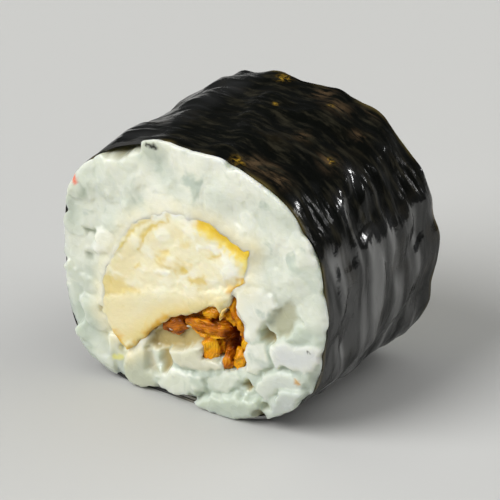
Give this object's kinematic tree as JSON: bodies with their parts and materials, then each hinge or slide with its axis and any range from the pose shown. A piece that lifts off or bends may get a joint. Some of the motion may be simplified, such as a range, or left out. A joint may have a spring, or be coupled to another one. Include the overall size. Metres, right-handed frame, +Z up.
{
  "type": "mackerel maki roll",
  "caption": "Cut piece of a maki roll lying on its side: a nori sheet round sticky rice, with a thick piece of mackerel and a bundle of fried onion through the middle.",
  "frame": {"origin": "under the middle of the roll, on the surface that it lies on", "axes": "+Z up, +Y along the roll's axis away from the shown cut face, +X across the roll to the right of that face"},
  "size_m": [0.033, 0.022, 0.0292],
  "materials": {
    "nori": "moist black-green seaweed, half gloss",
    "rice": "sticky translucent white rice, satin",
    "fish": "pale flaky cooked fish with golden edges, moist",
    "onion": "golden brown fried onion, oily gloss"
  },
  "bodies": {
    "root": {"nori_sheet": "nori", "rice": "rice", "mackerel": "fish", "fried_onion": "onion"}
  },
  "joints": []
}
